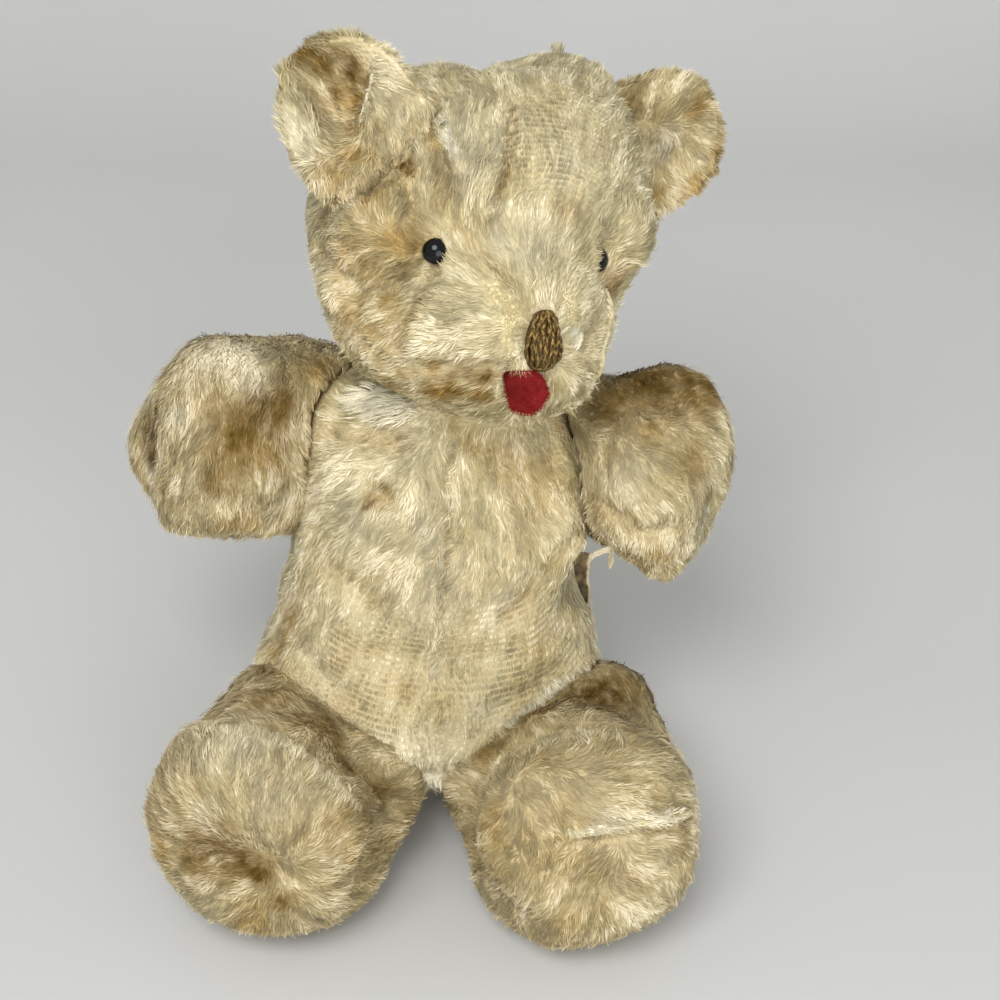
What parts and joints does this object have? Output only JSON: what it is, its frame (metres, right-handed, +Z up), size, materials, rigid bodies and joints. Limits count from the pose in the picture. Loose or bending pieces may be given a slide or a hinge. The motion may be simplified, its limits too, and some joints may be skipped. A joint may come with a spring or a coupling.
{
  "type": "threadbare teddy bear",
  "caption": "Seated plush bear, worn and stained, with stuffed stub limbs, cupped ears, black eyes, a stitched nose, a felt tongue and a torn cloth label.",
  "frame": {"origin": "on the flat face under the rump that the bear sits on", "axes": "+Z up, the bear faces -Y, +X towards the bear's own left"},
  "size_m": [0.1809, 0.1898, 0.2266],
  "materials": {
    "plush": "worn cream plush, matted pile",
    "plush_worn": "worn plush, stained tan and brown",
    "eye_gloss": "glossy black",
    "nose_thread": "twisted brown embroidery thread",
    "tongue_felt": "red felt, slightly fuzzy",
    "label_cloth": "plain woven cloth, aged"
  },
  "bodies": {
    "root": {"torso": "plush", "head": "plush", "arm_left": "plush_worn", "arm_right": "plush_worn", "leg_left": "plush_worn", "leg_right": "plush_worn", "ear_left": "plush_worn", "ear_right": "plush_worn", "eye_left": "eye_gloss", "eye_right": "eye_gloss", "nose_stitching": "nose_thread", "tongue": "tongue_felt", "label": "label_cloth"}
  },
  "joints": []
}
